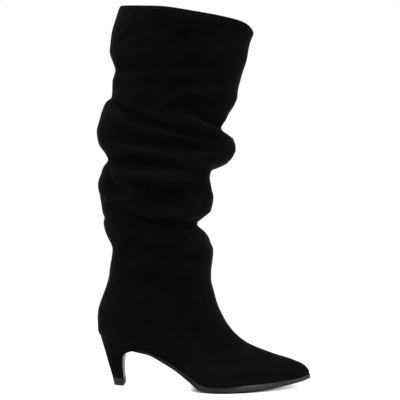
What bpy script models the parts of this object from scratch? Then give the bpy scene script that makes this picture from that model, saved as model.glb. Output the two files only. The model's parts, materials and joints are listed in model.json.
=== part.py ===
"""A right slouch boot with a slim heel: upper, insole, outsole, heel and heel lift.

Blender works in metres, the tables below are in millimetres. +X runs to the toe, +Z is up, and the
outer side of the foot faces -Y. The boot stands on z = 0 on its heel lift and on the ball of its sole.
"""

import bpy
import bmesh
import numpy as np

for item in list(bpy.data.objects):
    bpy.data.objects.remove(item, do_unlink=True)

# Driving sizes, in millimetres
MM = 0.001
BALL_WIDTH = 77.0
ANKLE_HALF = 41.0
WALL = 2.0
FIT_GAP = 0.4
SOLE_EDGE = 1.4
SOLE_TURN = 2.4
SOLE_SIDE_SHARE = 0.34
FLAP_TURN = 1.0
FLAP_BEVEL = 0.4
WAIST_START = -80.0
INSOLE_THICK = 2.5
INSOLE_INSET = WALL + 1.2
INSOLE_LIFT = 0.2
SKIRT = 2.5

# How squarely an oval hoop is rounded: 1 is an ellipse, less is fuller
SQUARE = 0.87

# How finely the lofts are cut
SHARP = np.radians(40.0)
COLUMNS = 44
HEEL_COLUMNS = 19
SPREAD = 0.18
ROW_STEP = 15.0

# The shaft, hoop by hoop from the collar down. Each hoop has a back and a front point, its half
# widths to the outer and inner side, and how far the middle of each side hangs below the line
# from back to front. A trough is a narrow hoop and a roll is a wide one.
# name, back_x, back_z, front_x, front_z, outer, inner, outer_drop, inner_drop
SHAFT = (
    ("collar", -102.6, 464.4, 60.0, 440.0, 45.0, 45.0, -4.0, -2.0),
    ("panel_top", -112.4, 441.5, 57.0, 422.0, 46.5, 46.0, -1.0, 0.0),
    ("panel", -115.6, 413.0, 52.6, 400.6, 47.5, 46.5, -1.0, 0.0),
    ("panel_dip", -110.2, 392.0, 46.6, 383.0, 47.0, 45.5, -1.0, 0.0),
    ("panel_low", -112.0, 374.0, 42.8, 366.0, 47.0, 45.0, -5.0, 0.0),
    ("pocket_top", -113.0, 364.5, 38.6, 349.5, 46.5, 43.5, -15.0, 1.0),
    ("pocket", -113.0, 361.0, 21.3, 317.8, 44.0, 41.5, -19.0, 3.0),
    ("strap_ridge", -112.9, 358.8, 31.0, 309.5, 47.0, 43.5, -4.0, 6.0),
    ("first_trough", -113.0, 356.6, 36.6, 304.4, 43.0, 42.0, 16.0, 10.0),
    ("first_lip", -119.5, 351.5, 37.8, 301.4, 47.0, 46.5, 16.5, 13.5),
    ("first_roll", -126.6, 337.0, 38.7, 297.0, 46.5, 48.0, 12.5, 11.0),
    ("first_crest", -132.6, 313.5, 38.2, 290.0, 44.5, 49.5, 6.0, 5.0),
    ("first_low", -129.0, 298.5, 35.6, 283.2, 49.5, 48.0, 6.5, 3.0),
    ("first_under", -121.0, 285.5, 27.8, 274.6, 47.0, 45.5, 3.5, 0.0),
    ("second_trough", -118.7, 279.0, 9.2, 264.8, 44.0, 42.5, 0.0, -4.0),
    ("second_lip", -124.2, 268.5, 7.2, 257.0, 48.5, 46.5, 2.0, -5.0),
    ("second_crest", -131.0, 249.0, 8.8, 246.0, 44.5, 49.0, 1.0, -4.0),
    ("second_roll", -128.3, 235.5, 11.4, 233.0, 45.5, 48.5, 3.0, -1.0),
    ("second_low", -126.6, 223.5, 8.8, 217.8, 48.5, 46.0, 9.0, 3.0),
    ("third_trough", -126.0, 219.0, -8.5, 200.0, 42.0, 43.0, 0.0, 6.0),
    ("third_roll", -123.4, 203.0, 2.6, 188.0, 42.5, 44.5, -1.0, 5.0),
    ("third_crest", -122.2, 191.0, 11.6, 169.0, 43.0, 43.5, -2.0, 3.0),
    ("hollow", -113.2, 168.0, 10.8, 155.5, 41.5, 42.0, -2.0, 2.0),
    ("ankle_top", -115.7, 150.0, 9.0, 142.5, 42.0, 41.5, -1.0, 1.0),
    ("ankle", -117.4, 135.5, 9.1, 131.5, 41.0, 41.0, 0.0, 0.0),
)

# The foot, hoop by hoop from the ankle down to the edge that meets the sole. last_share goes from
# the ankle's oval (0) to the outline of the last (1), and dip from a straight hoop (0) to one
# that follows the arch and the toe spring (1). fuller widens the hoop.
# name, back_x, back_z, front_x, front_z, last_share, dip, fuller
FOOT = (
    ("throat", -120.4, 123.5, 12.4, 118.0, 0.00, 0.00, 1.00),
    ("instep_top", -125.0, 111.8, 16.2, 104.0, 0.04, 0.03, 1.00),
    ("instep", -129.0, 101.0, 22.4, 89.4, 0.10, 0.08, 1.00),
    ("instep_low", -131.3, 92.0, 33.4, 72.2, 0.20, 0.18, 1.00),
    ("counter", -132.0, 84.0, 53.6, 53.8, 0.36, 0.34, 1.01),
    ("vamp", -132.0, 77.0, 83.0, 41.4, 0.54, 0.54, 1.03),
    ("vamp_low", -131.5, 70.5, 109.4, 33.8, 0.73, 0.74, 1.06),
    ("toe_box", -130.2, 65.0, 124.6, 27.2, 0.91, 0.91, 1.05),
)

# The outline of the last underneath, from the back of the heel to the tip: half width as a share of
# the ball width, before the hoop's rounding, and how far its middle line bends to the inner side.
# name, along, half_share, bend
LAST = (
    ("seat", 0.0, 0.575, 0.0),
    ("waist", 0.2, 0.410, -0.8),
    ("shank", 0.4, 0.375, -1.6),
    ("ball", 0.6, 0.505, 0.4),
    ("vamp", 0.8, 0.425, 2.6),
    ("tip", 1.0, 0.275, 5.0),
)

# The sole in side view, from the heel seat to the tip: the line that the upper's edge follows, and
# the underside. The seat rows have no sole under them, because the heel is there.
# name, top_x, top_z, under_x, under_z
SOLE = (
    ("seat_back", -128.0, 60.5, -128.0, 57.0),
    ("seat", -108.0, 56.6, -108.0, 53.0),
    ("waist_end", -82.0, 50.6, -83.6, 47.2),
    ("waist", -64.0, 45.4, -65.6, 42.2),
    ("shank", -46.0, 37.6, -48.6, 34.0),
    ("arch", -31.0, 29.2, -34.0, 24.9),
    ("arch_front", -14.0, 17.6, -17.0, 12.8),
    ("tread_back", 0.0, 8.6, -2.6, 1.2),
    ("ball_back", 9.0, 6.5, 6.0, 0.0),
    ("ball", 30.0, 6.5, 30.0, 0.0),
    ("ball_front", 50.0, 7.4, 50.0, 0.0),
    ("toe_roll", 75.0, 9.2, 75.0, 1.3),
    ("toe_rise", 100.0, 12.0, 100.0, 4.4),
    ("toe", 118.0, 14.8, 118.2, 7.9),
    ("tip", 128.5, 16.8, 128.8, 10.4),
)

# The flap of the outsole that turns down the front of the heel
# name, back_x, back_z, front_x, front_z, half_width
FLAP = (
    ("breast_end", -98.2, 7.9, -96.6, 7.9, 7.8),
    ("breast_low", -98.8, 15.0, -97.2, 15.0, 8.3),
    ("breast", -99.0, 24.0, -97.3, 24.0, 9.6),
    ("bend_low", -97.6, 34.0, -95.9, 33.4, 12.6),
    ("bend", -94.0, 42.8, -92.6, 41.0, 17.4),
    ("bend_top", -87.4, 51.3, -88.2, 45.7, 23.4),
)

# The heel, section by section from the lift to the seat
# name, back_x, back_z, front_x, front_z, half_width
HEEL = (
    ("base", -112.0, 7.9, -98.6, 7.9, 8.0),
    ("low", -115.0, 18.0, -99.5, 18.0, 8.8),
    ("middle", -118.7, 31.0, -99.4, 30.4, 11.4),
    ("neck", -122.2, 43.0, -95.6, 41.0, 16.2),
    ("flare", -125.2, 53.0, -91.6, 46.9, 21.4),
    ("seat", -127.2, 60.0, -88.1, 51.6, 24.2),
)

# The rubber lift under the heel, from the floor up
# name, back_x, front_x, height, half_width
LIFT = (
    ("floor", -109.6, -95.8, 0.0, 8.2),
    ("top", -112.2, -96.0, 7.5, 8.5),
)


def column(table, place):
    """One named column of a table, as an array."""
    return np.array([row[place] for row in table], dtype=float)


def smooth(knots, values, at):
    """A curve through every knot that never overshoots between two of them."""
    knots = np.asarray(knots, dtype=float)
    values = np.asarray(values, dtype=float)
    at = np.asarray(at, dtype=float)
    step = np.diff(knots).reshape((-1,) + (1,) * (values.ndim - 1))
    rise = np.diff(values, axis=0) / step
    before = 2 * step[1:] + step[:-1]
    after = step[1:] + 2 * step[:-1]
    same_way = rise[:-1] * rise[1:] > 0
    safe_a = np.where(same_way, rise[:-1], 1.0)
    safe_b = np.where(same_way, rise[1:], 1.0)
    inner = np.where(same_way, (before + after) / (before / safe_a + after / safe_b), 0.0)
    slope = np.concatenate([rise[:1], inner, rise[-1:]])
    k = np.clip(np.searchsorted(knots, at, side="right") - 1, 0, len(knots) - 2)
    h = step[k]
    t = (at - knots[k]).reshape((-1,) + (1,) * (values.ndim - 1)) / h
    rest = 1 - t
    start = values[k] * (1 + 2 * t) * rest**2 + slope[k] * h * t * rest**2
    return start + values[k + 1] * t**2 * (3 - 2 * t) - slope[k + 1] * h * t**2 * rest


def angles(count):
    """Column angles of a hoop: 0 at the front, then the outer side, pi at the back, the inner side."""
    even = np.arange(count) * 2 * np.pi / count
    return even + SPREAD * np.sin(2 * even)


def edge_height(x):
    """Height of the line that the upper's lower edge follows."""
    return smooth(column(SOLE, 1), column(SOLE, 2), x)


def last_outline(theta):
    """The last's outline underneath: x, y and z for each angle."""
    along = (1 + np.cos(theta)) / 2
    half = BALL_WIDTH * smooth(column(LAST, 1), column(LAST, 2), along)
    bend = smooth(column(LAST, 1), column(LAST, 3), along)
    x = SOLE[0][1] + (SOLE[-1][1] - SOLE[0][1]) * along
    return np.stack([x, bend - half * np.sin(theta), edge_height(x)], axis=1)


def rounded(theta):
    """How far out a hoop has come at each angle, from -1 to 1."""
    side = np.sin(theta)
    return np.sign(side) * np.abs(side) ** SQUARE


def shaft_hoop(row, theta):
    """One oval hoop of the shaft, tilted from its back point to its front point."""
    name, back_x, back_z, front_x, front_z, outer, inner, outer_drop, inner_drop = row
    along = (1 + np.cos(theta)) / 2
    side = np.sin(theta)
    half = np.where(side > 0, outer, inner)
    drop = np.where(side > 0, outer_drop, inner_drop)
    x = back_x + (front_x - back_x) * along
    z = back_z + (front_z - back_z) * along - drop * side**2
    return np.stack([x, -half * rounded(theta), z], axis=1)


def foot_hoop(row, theta):
    """One hoop of the foot, between the ankle's oval and the outline of the last."""
    name, back_x, back_z, front_x, front_z, share, dip, fuller = row
    along = (1 + np.cos(theta)) / 2
    last = last_outline(theta)
    chord = SOLE[0][2] + (SOLE[-1][2] - SOLE[0][2]) * along
    oval = -ANKLE_HALF * rounded(theta)
    x = back_x + (front_x - back_x) * along
    y = ((1 - share) * oval + share * last[:, 1]) * fuller
    z = back_z + (front_z - back_z) * along + dip * (last[:, 2] - chord)
    return np.stack([x, y, z], axis=1)


def upper_grid(count, row_step):
    """Every hoop of the upper from the collar to the sole, with more hoops where they lie far apart."""
    theta = angles(count)
    hoops = [shaft_hoop(row, theta) for row in SHAFT]
    hoops += [foot_hoop(row, theta) for row in FOOT]
    edge = last_outline(theta)
    hoops.append(edge + [0.0, 0.0, SKIRT])
    hoops = np.array(hoops)
    apart = np.linalg.norm(np.diff(hoops, axis=0), axis=2).max(axis=1)
    cuts = np.maximum(1, np.rint(apart / row_step)).astype(int)
    places = [k + np.arange(n) / n for k, n in enumerate(cuts)]
    places = np.concatenate(places + [[len(hoops) - 1.0]])
    grid = smooth(np.arange(len(hoops)), hoops, places)
    return np.concatenate([grid, edge[None]])


def plan_offset(ring, distance):
    """A closed ring moved outwards in plan, square to itself."""
    ahead = np.roll(ring, -1, axis=0) - np.roll(ring, 1, axis=0)
    normal = np.stack([ahead[:, 1], -ahead[:, 0], 0 * ahead[:, 0]], axis=1)
    normal /= np.linalg.norm(normal, axis=1, keepdims=True)
    centre = ring.mean(axis=0)
    outward = np.sign(np.sum(normal[:, :2] * (ring - centre)[:, :2])) or 1.0
    return ring + outward * distance * normal


def make_object(name, points, faces, material, group):
    """A mesh object from millimetre points, with its faces turned outwards if it is closed."""
    mesh = bpy.data.meshes.new(name)
    mesh.from_pydata((np.asarray(points) * MM).tolist(), [], faces)
    work = bmesh.new()
    work.from_mesh(mesh)
    if all(edge.is_manifold for edge in work.edges):
        bmesh.ops.recalc_face_normals(work, faces=work.faces)
    work.to_mesh(mesh)
    work.free()
    mesh.materials.append(material)
    mesh.shade_smooth()
    mesh.set_sharp_from_angle(angle=SHARP)
    made = bpy.data.objects.new(name, mesh)
    group.objects.link(made)
    return made


def make_material(name, colour, roughness):
    """A plain surface in one colour."""
    made = bpy.data.materials.new(name)
    made.use_nodes = True
    shader = made.node_tree.nodes["Principled BSDF"]
    shader.inputs["Base Color"].default_value = (*colour, 1.0)
    shader.inputs["Roughness"].default_value = roughness
    return made


def loft(sections, close_ends=True):
    """Points and faces of closed sections joined in order, with a flat face at each end."""
    count = len(sections[0])
    points = np.concatenate(sections)
    faces = []
    for k in range(len(sections) - 1):
        for c in range(count):
            here = k * count + c
            side = k * count + (c + 1) % count
            faces.append((here, side, side + count, here + count))
    if close_ends:
        faces.append(tuple(range(count))[::-1])
        faces.append(tuple(range(len(points) - count, len(points))))
    return points, faces


def slab(lower, upper):
    """Points and faces between two like rings, each filled across from outer to inner side."""
    count = len(lower)
    points, faces = loft([lower, upper], close_ends=False)
    for shift, turn in ((0, -1), (count, 1)):
        for c in range(count // 2):
            quad = [c, c + 1, (count - c - 1) % count, (count - c) % count]
            ring = list(dict.fromkeys(shift + q for q in quad))
            faces.append(tuple(ring[::turn]))
    return points, faces


def make_upper(material, group):
    """The suede tube: an open loft given its wall by a Solidify modifier."""
    grid = upper_grid(COLUMNS, ROW_STEP)
    rows, count = grid.shape[:2]
    faces = []
    for r in range(rows - 1):
        for c in range(count):
            side = (c + 1) % count
            faces.append((r * count + c, r * count + side, (r + 1) * count + side, (r + 1) * count + c))
    made = make_object("upper", grid.reshape(-1, 3), faces, material, group)
    wall = made.modifiers.new("wall", "SOLIDIFY")
    wall.thickness = WALL * MM
    wall.offset = -1.0
    wall.use_rim = True
    wall.use_even_offset = False
    return made


def make_insole(material, group):
    """A thin board inside the upper's lower edge."""
    ring = plan_offset(last_outline(angles(COLUMNS)), -INSOLE_INSET)
    lower = np.column_stack([ring[:, :2], edge_height(ring[:, 0]) + INSOLE_LIFT])
    upper = lower + [0.0, 0.0, INSOLE_THICK]
    points, faces = slab(lower, upper)
    return make_object("insole", points, faces, material, group)


def sole_sections():
    """Sections of the outsole from the foot of its flap, through the arch, to the toe."""
    sections = []
    for name, back_x, back_z, front_x, front_z, half in FLAP:
        soft = half - FLAP_TURN
        edge = half - FLAP_BEVEL
        sections.append(
            [
                (back_x, -half, back_z),
                (front_x, -edge, front_z),
                (front_x, -soft, front_z),
                (front_x, soft, front_z),
                (front_x, edge, front_z),
                (back_x, half, back_z),
            ]
        )
    ring = last_outline(angles(COLUMNS))
    outside = plan_offset(ring, SOLE_EDGE)
    inside = plan_offset(ring, SOLE_EDGE - SOLE_TURN)
    top_x = column(SOLE, 1)
    for c in range(COLUMNS // 2, 0, -1):
        other = COLUMNS - c
        if ring[c, 0] < WAIST_START:
            continue
        section = []
        for place, edge in ((c, outside), (c, inside), (other, inside), (other, outside)):
            at = [edge[place, 0]]
            under_x = smooth(top_x, column(SOLE, 3), at)[0]
            under_z = smooth(top_x, column(SOLE, 4), at)[0]
            top = (edge[place, 0], edge[place, 1], edge_height(at)[0] - FIT_GAP)
            under = (under_x, edge[place, 1], under_z)
            if edge is inside:
                section.append(under)
                continue
            side = np.array(under) + SOLE_SIDE_SHARE * (np.array(top) - np.array(under))
            section += [top, tuple(side)] if place == c else [tuple(side), top]
        sections.append(section)
    return sections, outside[0], inside[0]


def make_outsole(material, group):
    """The outsole, lofted through its sections and drawn to a point at the toe."""
    sections, tip, tip_in = sole_sections()
    points, faces = loft([np.array(s) for s in sections], close_ends=False)
    count = len(sections[0])
    faces.append(tuple(range(count))[::-1])
    top_x = column(SOLE, 1)
    top = (tip[0], tip[1], edge_height([tip[0]])[0] - FIT_GAP)
    under_z = smooth(top_x, column(SOLE, 4), [tip_in[0]])[0]
    under = (tip_in[0], tip_in[1], under_z)
    side = (tip[0], tip[1], under_z + SOLE_SIDE_SHARE * (top[2] - under_z))
    first = len(points) - count
    points = np.concatenate([points, [top, side, under]])
    t, s, u = len(points) - 3, len(points) - 2, len(points) - 1
    faces += [
        (first, first + 1, s, t),
        (first + 1, first + 2, u, s),
        (first + 2, first + 3, u),
        (first + 3, first + 4, s, u),
        (first + 4, first + 5, t, s),
        (first + 5, first, t),
    ]
    return make_object("outsole", points, faces, material, group)


def heel_unit():
    """The seat's own outline from the outer to the inner corner of the breast, in shares of its size."""
    start = np.arccos(2 * (HEEL[-1][3] - SOLE[0][1]) / (SOLE[-1][1] - SOLE[0][1]) - 1)
    ring = last_outline(np.linspace(start, 2 * np.pi - start, HEEL_COLUMNS))
    deep = (ring[:, 0] - ring[0, 0]) / (ring[:, 0].min() - ring[0, 0])
    wide = ring[:, 1] / np.abs(ring[:, 1]).max()
    return deep, wide


def make_heel(material, group):
    """The heel block, lofted from the lift to the seat; its top follows the line of the seat."""
    deep, wide = heel_unit()
    sections = []
    for row in HEEL:
        name, back_x, back_z, front_x, front_z, half = row
        x = front_x + (back_x - front_x) * deep
        z = front_z + (back_z - front_z) * deep
        if row is HEEL[-1]:
            z = edge_height(x) - FIT_GAP
        sections.append(np.column_stack([x, half * wide, z]))
    count = len(sections[0])
    points, faces = loft(sections, close_ends=False)
    faces.append(tuple(range(count))[::-1])
    last = len(points) - count
    for c in range(count // 2):
        ring = dict.fromkeys((last + c, last + c + 1, last + count - 2 - c, last + count - 1 - c))
        faces.append(tuple(ring))
    return make_object("heel", points, faces, material, group)


def make_lift(material, group):
    """The rubber top piece: the heel's foot, a little proud at the front, tapering to the floor."""
    deep, wide = heel_unit()
    sections = []
    for name, back_x, front_x, height, half in LIFT:
        x = front_x + (back_x - front_x) * deep
        sections.append(np.column_stack([x, half * wide, np.full(len(x), height)]))
    points, faces = loft(sections)
    return make_object("heel_lift", points, faces, material, group)


boot = bpy.data.collections.new("slouch_boot")
bpy.context.scene.collection.children.link(boot)
suede = make_material("suede", (0.012, 0.012, 0.013), 0.95)
rubber = make_material("sole_rubber", (0.035, 0.035, 0.038), 0.5)
lining = make_material("sock", (0.03, 0.028, 0.027), 0.8)
make_upper(suede, boot)
make_insole(lining, boot)
make_outsole(rubber, boot)
make_heel(suede, boot)
make_lift(rubber, boot)
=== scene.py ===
# %% [markdown]
# # A slouch boot in black suede
#
# The CAD frame holds this right boot at its real size: a hollow upper, an insole, an outsole, a slim
# heel and the rubber lift under it. Each of them is replaced here by a finer piece of the same form.
# We start from an empty scene and load the frame.

# %% Load the frame
import json

import bmesh
import bpy
import numpy as np
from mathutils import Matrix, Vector

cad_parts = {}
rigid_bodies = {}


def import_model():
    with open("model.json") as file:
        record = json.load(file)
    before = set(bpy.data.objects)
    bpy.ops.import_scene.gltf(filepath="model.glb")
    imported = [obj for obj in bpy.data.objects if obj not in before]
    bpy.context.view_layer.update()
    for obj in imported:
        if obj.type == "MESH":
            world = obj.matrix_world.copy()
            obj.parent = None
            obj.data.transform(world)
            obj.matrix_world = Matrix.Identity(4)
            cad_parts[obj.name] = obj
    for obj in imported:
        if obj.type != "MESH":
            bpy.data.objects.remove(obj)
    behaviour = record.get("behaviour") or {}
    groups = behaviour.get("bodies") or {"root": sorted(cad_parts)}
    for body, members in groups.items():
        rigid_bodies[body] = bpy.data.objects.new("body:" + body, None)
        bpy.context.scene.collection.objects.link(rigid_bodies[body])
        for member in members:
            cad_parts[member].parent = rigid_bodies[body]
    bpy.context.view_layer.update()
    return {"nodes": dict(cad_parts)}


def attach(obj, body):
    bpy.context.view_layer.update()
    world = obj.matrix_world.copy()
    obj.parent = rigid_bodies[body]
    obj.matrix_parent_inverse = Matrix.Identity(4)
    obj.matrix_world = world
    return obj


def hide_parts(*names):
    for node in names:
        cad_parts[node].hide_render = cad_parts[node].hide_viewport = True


for leftover in list(bpy.data.objects):
    bpy.data.objects.remove(leftover, do_unlink=True)
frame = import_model()
MM = 0.001
BODY = "root"
print("CAD nodes:", ", ".join(sorted(frame["nodes"])))

# %% [markdown]
# ## The boot's own sizes
#
# A boot maker works from sections. The shaft is a stack of hoops: a narrow hoop is a trough of the
# slouch and a wide one is a roll. A sculpt could give the same rolls, but in a table each one has a
# height and a width that can be read and changed. The tables are in millimetres: +X runs to the toe,
# +Z goes up and the outer side of the foot faces -Y, as in the frame.

# %% Hoops of the shaft
# name, back_x, back_z, front_x, front_z, outer, inner, outer_drop, inner_drop
SHAFT = (
    ("collar", -103.0, 464.0, 61.0, 439.2, 45.0, 45.0, -1.9, -2.0),
    ("panel_top", -111.9, 441.5, 56.3, 422.0, 46.5, 46.0, -1.0, 0.0),
    ("panel", -115.6, 412.0, 53.0, 400.6, 47.5, 46.5, -1.0, 0.0),
    ("panel_dip", -109.0, 388.8, 47.0, 383.0, 47.0, 45.5, -1.0, 0.0),
    ("panel_low", -112.1, 375.0, 42.8, 367.0, 47.0, 45.0, -5.0, 0.0),
    ("pocket_top", -111.9, 363.0, 41.3, 355.0, 46.5, 43.5, -9.0, 1.0),
    ("pocket", -112.0, 359.4, 21.2, 318.0, 45.6, 41.5, -4.0, 3.0),
    ("strap_ridge", -112.3, 357.0, 31.0, 309.5, 46.6, 43.5, 1.0, 6.0),
    ("first_trough", -113.2, 354.6, 36.6, 304.4, 44.6, 42.0, 15.0, 10.0),
    ("first_lip", -119.7, 350.2, 37.8, 301.4, 46.8, 46.5, 17.0, 13.5),
    ("first_roll", -126.6, 337.0, 39.4, 297.0, 46.5, 48.0, 12.5, 11.0),
    ("first_crest", -132.4, 312.2, 39.8, 290.0, 45.4, 49.5, 6.0, 5.0),
    ("first_low", -129.5, 298.8, 36.3, 282.4, 49.5, 48.0, 6.5, 3.0),
    ("first_under", -120.2, 285.5, 28.7, 274.6, 47.0, 45.5, 3.5, 0.0),
    ("second_trough", -118.0, 279.0, 8.8, 264.8, 45.2, 42.5, 0.0, -4.0),
    ("second_lip", -124.6, 268.5, 7.5, 257.0, 48.5, 46.5, 4.0, -5.0),
    ("second_crest", -130.7, 249.0, 8.8, 246.0, 44.5, 49.0, 1.0, -4.0),
    ("second_roll", -128.3, 235.5, 12.2, 233.0, 45.5, 48.5, 3.0, -1.0),
    ("second_low", -126.4, 223.5, 10.2, 216.4, 45.5, 46.0, 6.3, 3.0),
    ("third_trough", -126.0, 219.0, -7.6, 200.0, 42.8, 43.0, 1.0, 6.0),
    ("third_roll", -124.5, 203.0, 2.8, 188.0, 42.5, 44.5, -1.0, 5.0),
    ("third_crest", -122.9, 193.4, 12.2, 170.0, 43.0, 43.5, -2.0, 3.0),
    ("hollow", -113.2, 168.0, 10.8, 155.5, 41.5, 42.0, -2.0, 2.0),
    ("ankle_top", -115.7, 150.0, 9.0, 142.5, 42.0, 41.5, -1.0, 1.0),
    ("ankle", -117.4, 135.5, 9.1, 131.5, 41.0, 41.0, 0.0, 0.0),
)
print("hoops in the shaft:", len(SHAFT), "from", SHAFT[-1][2], "to", SHAFT[0][2], "mm at the back")

# %% [markdown]
# The foot is a second stack of hoops, which turns from the oval of the ankle into the outline of the
# last, the form that a shoe is built on. The sole has two lines from back to tip, one where the upper
# meets it and one underneath: high and close together at the arch, flat at the ball, up at the toe.

# %% Hoops of the foot, the last and the sole
# name, back_x, back_z, front_x, front_z, last_share, dip, fuller
FOOT = (
    ("throat", -120.4, 123.5, 12.4, 118.0, 0.00, 0.00, 1.00),
    ("instep_top", -125.0, 111.8, 16.2, 104.0, 0.04, 0.03, 1.00),
    ("instep", -129.0, 101.0, 22.4, 89.4, 0.10, 0.08, 1.00),
    ("instep_low", -131.3, 92.0, 33.4, 71.6, 0.20, 0.18, 1.00),
    ("counter", -132.0, 84.0, 53.6, 53.8, 0.36, 0.34, 1.01),
    ("vamp", -132.0, 77.0, 83.0, 41.8, 0.54, 0.54, 1.03),
    ("vamp_low", -131.9, 70.5, 109.4, 33.8, 0.73, 0.74, 1.06),
    ("toe_box", -130.9, 65.0, 124.5, 26.6, 0.91, 0.91, 1.04),
)
# name, along, half_share, bend
LAST = (
    ("seat", 0.0, 0.575, 0.0),
    ("waist", 0.2, 0.410, -0.8),
    ("shank", 0.4, 0.375, -1.6),
    ("ball", 0.6, 0.505, 0.4),
    ("vamp", 0.8, 0.425, 2.6),
    ("tip", 1.0, 0.275, 5.0),
)
# name, top_x, top_z, under_x, under_z
SOLE = (
    ("seat_back", -128.0, 60.5, -128.0, 57.0),
    ("seat", -108.0, 56.6, -108.0, 53.0),
    ("waist_end", -82.0, 50.6, -83.6, 45.8),
    ("waist", -64.0, 45.4, -65.6, 42.4),
    ("shank", -46.0, 37.6, -48.6, 33.9),
    ("arch", -31.0, 29.2, -34.0, 25.3),
    ("arch_front", -14.0, 17.6, -17.0, 12.5),
    ("tread_back", 0.0, 8.6, -1.2, 1.2),
    ("ball_back", 9.0, 6.9, 6.0, 0.0),
    ("ball", 30.0, 7.2, 30.0, 0.0),
    ("ball_front", 50.0, 8.8, 50.0, 0.0),
    ("toe_roll", 75.0, 9.7, 75.0, 1.4),
    ("toe_rise", 100.0, 11.8, 100.0, 5.2),
    ("toe", 118.0, 13.4, 118.2, 8.0),
    ("tip", 129.6, 16.4, 129.8, 10.7),
)
print("hoops in the foot:", len(FOOT), "and places along the sole:", len(SOLE))

# %% [markdown]
# ## Curves through a table
#
# A few rows become a smooth surface with a curve that passes through every row. An ordinary spline
# would swing past a deep trough and make a ripple that nobody asked for. This one is a cubic whose
# slope is the harmonic mean of its neighbours' slopes, and zero at a peak, so it never overshoots.

# %% Smooth curves
def column(table, place):
    """One column of a table, as an array."""
    return np.array([row[place] for row in table], dtype=float)


def smooth(knots, values, at):
    """Cubic Hermite curve through the knots: harmonic mean slopes inside, zero slope at each peak."""
    knots = np.asarray(knots, dtype=float)
    values = np.asarray(values, dtype=float)
    at = np.asarray(at, dtype=float)
    step = np.diff(knots).reshape((-1,) + (1,) * (values.ndim - 1))
    rise = np.diff(values, axis=0) / step
    before = 2 * step[1:] + step[:-1]
    after = step[1:] + 2 * step[:-1]
    same_way = rise[:-1] * rise[1:] > 0
    safe_a = np.where(same_way, rise[:-1], 1.0)
    safe_b = np.where(same_way, rise[1:], 1.0)
    inner = np.where(same_way, (before + after) / (before / safe_a + after / safe_b), 0.0)
    slope = np.concatenate([rise[:1], inner, rise[-1:]])
    k = np.clip(np.searchsorted(knots, at, side="right") - 1, 0, len(knots) - 2)
    h = step[k]
    t = (at - knots[k]).reshape((-1,) + (1,) * (values.ndim - 1)) / h
    rest = 1 - t
    start = values[k] * (1 + 2 * t) * rest**2 + slope[k] * h * t * rest**2
    return start + values[k + 1] * t**2 * (3 - 2 * t) - slope[k + 1] * h * t**2 * rest


def between(table, cuts):
    """The columns after the name, on smooth curves with that many cuts from row to row."""
    rows = np.arange(len(table))
    at = np.arange((len(table) - 1) * cuts + 1) / cuts
    return [smooth(rows, column(table, place), at) for place in range(1, len(table[0]))]


def ease(share):
    """0 below 0, 1 above 1, and a soft S between: 3 s^2 - 2 s^3."""
    share = np.clip(share, 0.0, 1.0)
    return share * share * (3 - 2 * share)


print("lowest place on the sole's edge, mm:", between(SOLE, 1)[1].min())

# %% [markdown]
# ## The last
#
# Every ring round the boot is a function of one angle: 0 is the front, 90 degrees the outer side and
# 180 the back. The last's outline is the first such ring. Its half width and the bend of its middle
# line change along the foot, and its height is the line where the upper meets the sole.

# %% The last's outline
BALL_WIDTH = 77.0
SPREAD = 0.18
UPPER_COLUMNS = 216


def angles(count):
    """Column angles, wider apart at the front and the back, where a long oval would crowd them."""
    even = np.arange(count) * 2 * np.pi / count
    return even + SPREAD * np.sin(2 * even)


def edge_height(x):
    """Height of the line where the upper meets the sole, at each x."""
    return smooth(column(SOLE, 1), column(SOLE, 2), x)


def last_outline(theta):
    """The last: x from the cosine, y the bend of the middle line less the half width times the sine."""
    along = (1 + np.cos(theta)) / 2
    half = BALL_WIDTH * smooth(column(LAST, 1), column(LAST, 2), along)
    bend = smooth(column(LAST, 1), column(LAST, 3), along)
    x = SOLE[0][1] + (SOLE[-1][1] - SOLE[0][1]) * along
    return np.stack([x, bend - half * np.sin(theta), edge_height(x)], axis=1)


def plan_offset(ring, distance):
    """A closed ring moved outwards in plan, square to itself."""
    ahead = np.roll(ring, -1, axis=0) - np.roll(ring, 1, axis=0)
    normal = np.stack([ahead[:, 1], -ahead[:, 0], 0 * ahead[:, 0]], axis=1)
    normal /= np.linalg.norm(normal, axis=1, keepdims=True)
    centre = ring.mean(axis=0)
    outward = np.sign(np.sum(normal[:, :2] * (ring - centre)[:, :2]))
    return ring + outward * np.reshape(distance, (-1, 1)) * normal


print("width of the last, mm:", np.ptp(last_outline(angles(UPPER_COLUMNS))[:, 1]).round(1))

# %% [markdown]
# ## Hoops and the upper
#
# A hoop of the shaft is a tilted oval, a little squarer than an ellipse. Slack suede sags between its
# front and its back, so each side hangs lower than the tilt alone would put it, or higher where its
# drop is below zero. A hoop of the foot is a mix of the ankle's oval and the last's outline.

# %% Hoops
SQUARE = 0.87
ANKLE_HALF = 41.0


def rounded(theta):
    """Sine to the power SQUARE with its sign kept: an oval that is fuller than an ellipse."""
    side = np.sin(theta)
    return np.sign(side) * np.abs(side) ** SQUARE


def shaft_hoop(row, theta):
    """A tilted oval: x and z run from back to front with the cosine, and each side hangs by its drop."""
    name, back_x, back_z, front_x, front_z, outer, inner, outer_drop, inner_drop = row
    along = (1 + np.cos(theta)) / 2
    side = np.sin(theta)
    half = np.where(side > 0, outer, inner)
    drop = np.where(side > 0, outer_drop, inner_drop)
    x = back_x + (front_x - back_x) * along
    z = back_z + (front_z - back_z) * along - drop * side**2
    return np.stack([x, -half * rounded(theta), z], axis=1)


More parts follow.
